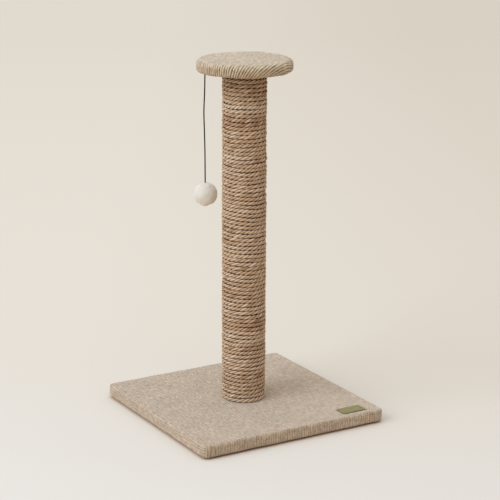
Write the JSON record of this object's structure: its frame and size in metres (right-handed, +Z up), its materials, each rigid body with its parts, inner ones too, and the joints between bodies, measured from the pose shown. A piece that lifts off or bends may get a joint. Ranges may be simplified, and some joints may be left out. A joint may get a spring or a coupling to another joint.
{
  "type": "cat scratching post",
  "caption": "Cat scratching post: square covered base, tall post wound with rope, padded round top, and a soft ball hanging from the top on an elastic cord.",
  "frame": {"origin": "centre of the base on the floor, under the post's axis", "axes": "+Z up along the post, +X along the base's front edge to the label's corner, +Y to the back"},
  "size_m": [0.4, 0.4, 0.704],
  "materials": {
    "ribbed_fabric": "matte",
    "chipboard": "matte",
    "liner": "matte",
    "foot_felt": "matte",
    "staple_wire": "satin",
    "zinc_steel": "satin",
    "label": "matte",
    "card_tube": "matte",
    "plug_wood": "matte",
    "rope": "matte",
    "plywood": "matte",
    "foam": "matte",
    "cord": "matte",
    "ball_felt": "matte"
  },
  "bodies": {
    "post": {"base_board": "chipboard", "base_cover": "ribbed_fabric", "base_liner": "liner", "base_feet": "foot_felt", "base_staples": "staple_wire", "base_label": "label", "base_bolt": "zinc_steel", "base_washer": "zinc_steel", "post_tube": "card_tube", "bottom_plug": "plug_wood", "top_plug": "plug_wood", "bottom_insert_nut": "zinc_steel", "top_insert_nut": "zinc_steel", "plug_screws": "zinc_steel", "rope_turns_lower": "rope", "rope_turns_lower_middle": "rope", "rope_turns_upper_middle": "rope", "rope_turns_upper": "rope", "rope_staples": "staple_wire", "top_board": "plywood", "top_foam": "foam", "top_cover": "ribbed_fabric", "top_liner": "liner", "top_staples": "staple_wire", "top_bolt": "zinc_steel", "cord_anchor": "cord"},
    "cord_bend": {"cord_bend": "cord"},
    "cord": {"toy_cord": "cord"},
    "cord_end": {"cord_end_knot": "cord"},
    "ball": {"ball_cover": "ball_felt", "ball_core": "foam"}
  },
  "joints": [
    {"name": "swing_sideways", "type": "hinge", "parent": "post", "child": "cord_bend", "pos_m": [-0.0548, 0.0548, 0.67345], "axis": [-0.7071, 0.7071, 0], "range_deg": [-60, 60]},
    {"name": "swing_in_out", "type": "hinge", "parent": "cord_bend", "child": "cord", "pos_m": [-0.0548, 0.0548, 0.67345], "axis": [0.7071, 0.7071, 0], "range_deg": [-1.5, 60]},
    {"name": "cord_stretch", "type": "slide", "parent": "cord", "child": "cord_end", "axis": [0, 0, -1], "range_m": [0, 0.06], "stiffness_N_per_m": 20, "springref_m": -0.00792, "deforming": ["toy_cord"]},
    {"name": "ball_spin", "type": "hinge", "parent": "cord_end", "child": "ball", "pos_m": [-0.0548, 0.0548, 0.4335], "axis": [0, 0, 1], "continuous": true}
  ]
}
